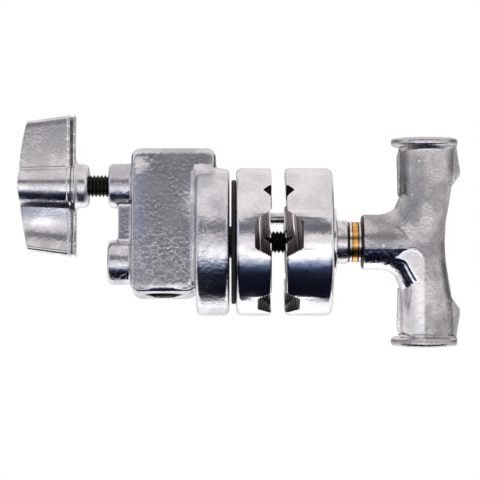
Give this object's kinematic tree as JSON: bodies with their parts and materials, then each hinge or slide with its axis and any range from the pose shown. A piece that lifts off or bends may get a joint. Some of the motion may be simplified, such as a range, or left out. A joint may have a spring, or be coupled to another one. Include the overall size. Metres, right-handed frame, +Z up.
{
  "type": "rod clamp grip head",
  "caption": "Cast stand-mounted grip head: a socket body with a wing lock screw, two round grooved rod jaws and a T-handle that clamps them.",
  "frame": {"origin": "where the vertical stand socket's axis crosses the main stud's axis", "axes": "+Z up the stand socket, +X along the main stud towards the T-handle, +Y to the back"},
  "size_m": [0.1913, 0.0636, 0.1017],
  "materials": {
    "cast_aluminium": "polished cast, faintly pebbled",
    "polished_aluminium": "mirror polished cast",
    "satin_aluminium": "tumbled satin cast",
    "black_steel": "black oxide",
    "bright_steel": "bright turned",
    "brass": "bright",
    "friction_black": "matt friction material"
  },
  "bodies": {
    "head_body": {"body_casting": "cast_aluminium", "main_stud": "black_steel", "stud_set_screw": "black_steel", "pivot_bush": "black_steel", "thread_insert": "bright_steel"},
    "inner_jaw": {"inner_jaw": "polished_aluminium", "friction_disc": "friction_black", "guide_pin": "bright_steel"},
    "outer_jaw": {"outer_jaw": "polished_aluminium", "outer_jaw_bush": "black_steel", "collar_spacer": "bright_steel", "inner_race": "bright_steel"},
    "roller_cage": {"bearing_cage": "brass", "bearing_rollers": "bright_steel"},
    "t_handle": {"t_handle": "satin_aluminium", "handle_insert": "bright_steel", "handle_lock_pin": "bright_steel", "outer_race": "bright_steel"},
    "pressure_tip": {"pressure_tip": "brass"},
    "wing_knob": {"wing_knob": "satin_aluminium", "knob_stud": "black_steel", "knob_lock_pin": "bright_steel"}
  },
  "joints": [
    {"name": "head_turn", "type": "hinge", "parent": "head_body", "child": "inner_jaw", "pos_m": [0, 0, 0], "axis": [1, 0, 0], "continuous": true},
    {"name": "jaw_slide", "type": "slide", "parent": "inner_jaw", "child": "outer_jaw", "axis": [1, 0, 0], "range_m": [-0.0056, 0.008]},
    {"name": "handle_turn", "type": "hinge", "parent": "outer_jaw", "child": "t_handle", "pos_m": [0, 0, 0], "axis": [1, 0, 0], "range_deg": [-1260, 1800]},
    {"name": "cage_turn", "type": "hinge", "parent": "outer_jaw", "child": "roller_cage", "pos_m": [0, 0, 0], "axis": [1, 0, 0], "range_deg": [-630, 900]},
    {"name": "tip_slide", "type": "slide", "parent": "head_body", "child": "pressure_tip", "axis": [1, 0, 0], "range_m": [-0.0071, 0.0084]},
    {"name": "knob_turn", "type": "hinge", "parent": "pressure_tip", "child": "wing_knob", "pos_m": [0, 0, 0.0246], "axis": [1, 0, 0], "range_deg": [-1600, 1890]}
  ],
  "couplings": [
    {"joint": "jaw_slide", "follows": "handle_turn", "m_per_rad": 0.00025266},
    {"joint": "cage_turn", "follows": "handle_turn", "ratio": 0.5},
    {"joint": "tip_slide", "follows": "knob_turn", "m_per_rad": 0.00025266}
  ]
}
